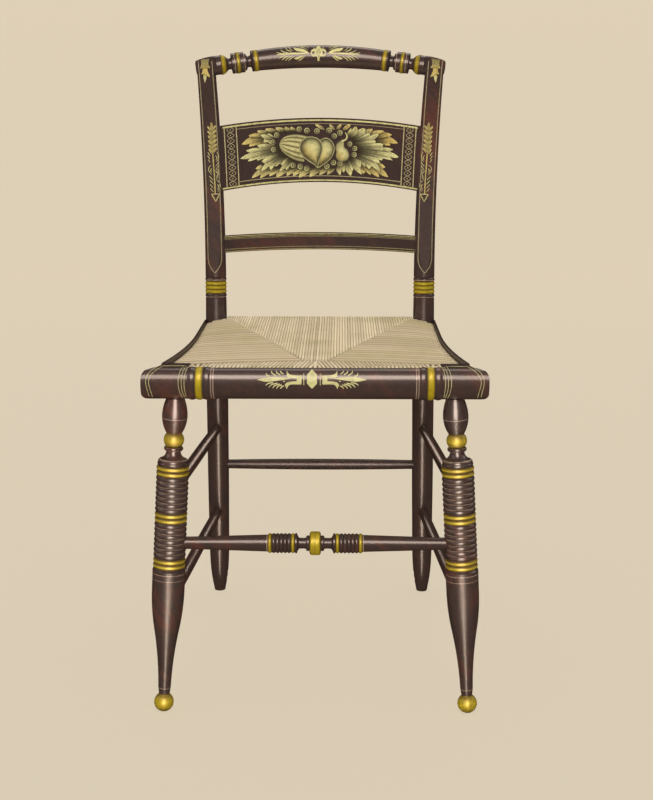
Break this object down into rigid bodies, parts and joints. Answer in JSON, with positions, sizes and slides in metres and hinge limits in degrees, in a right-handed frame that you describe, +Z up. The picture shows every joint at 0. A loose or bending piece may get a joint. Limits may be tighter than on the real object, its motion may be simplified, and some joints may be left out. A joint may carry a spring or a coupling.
{
  "type": "side chair",
  "caption": "Turned and painted wooden side chair with a rush seat, a front seat roll, a wide fruit-stenciled slat, a narrow slat and a turned crest rail.",
  "frame": {"origin": "on the floor, at the middle of the chair's outline seen from above", "axes": "+Z up, -Y the way the chair faces, +X to the right as seen from the front"},
  "size_m": [0.435, 0.4913, 0.8658],
  "materials": {
    "grained_paint": "dark brown paint with reddish graining, gold bands, pale stripes and stencils, glossy varnish",
    "woven_rush": "twisted straw-coloured rush cords, matte",
    "packed_rush": "loose rush ends packed flat",
    "bare_hardwood": "unpainted hardwood",
    "iron": "dark iron nails"
  },
  "bodies": {
    "root": {"back_post_left": "grained_paint", "back_post_right": "grained_paint", "corner_block_left": "grained_paint", "corner_block_right": "grained_paint", "crest_pegs": "bare_hardwood", "crest_rail": "grained_paint", "front_leg_left": "grained_paint", "front_leg_right": "grained_paint", "front_seat_list": "bare_hardwood", "front_seat_roll": "grained_paint", "front_stretcher": "grained_paint", "lower_side_stretcher_left": "grained_paint", "lower_side_stretcher_right": "grained_paint", "lower_slat": "grained_paint", "rear_seat_list": "bare_hardwood", "rear_stretcher": "grained_paint", "roll_nails": "iron", "rush_seat": "woven_rush", "rush_stuffing": "packed_rush", "side_seat_list_left": "bare_hardwood", "side_seat_list_right": "bare_hardwood", "side_seat_strip_left": "grained_paint", "side_seat_strip_right": "grained_paint", "slat_pegs": "bare_hardwood", "stenciled_slat": "grained_paint", "strip_nails": "iron", "upper_side_stretcher_left": "grained_paint", "upper_side_stretcher_right": "grained_paint"}
  },
  "joints": []
}
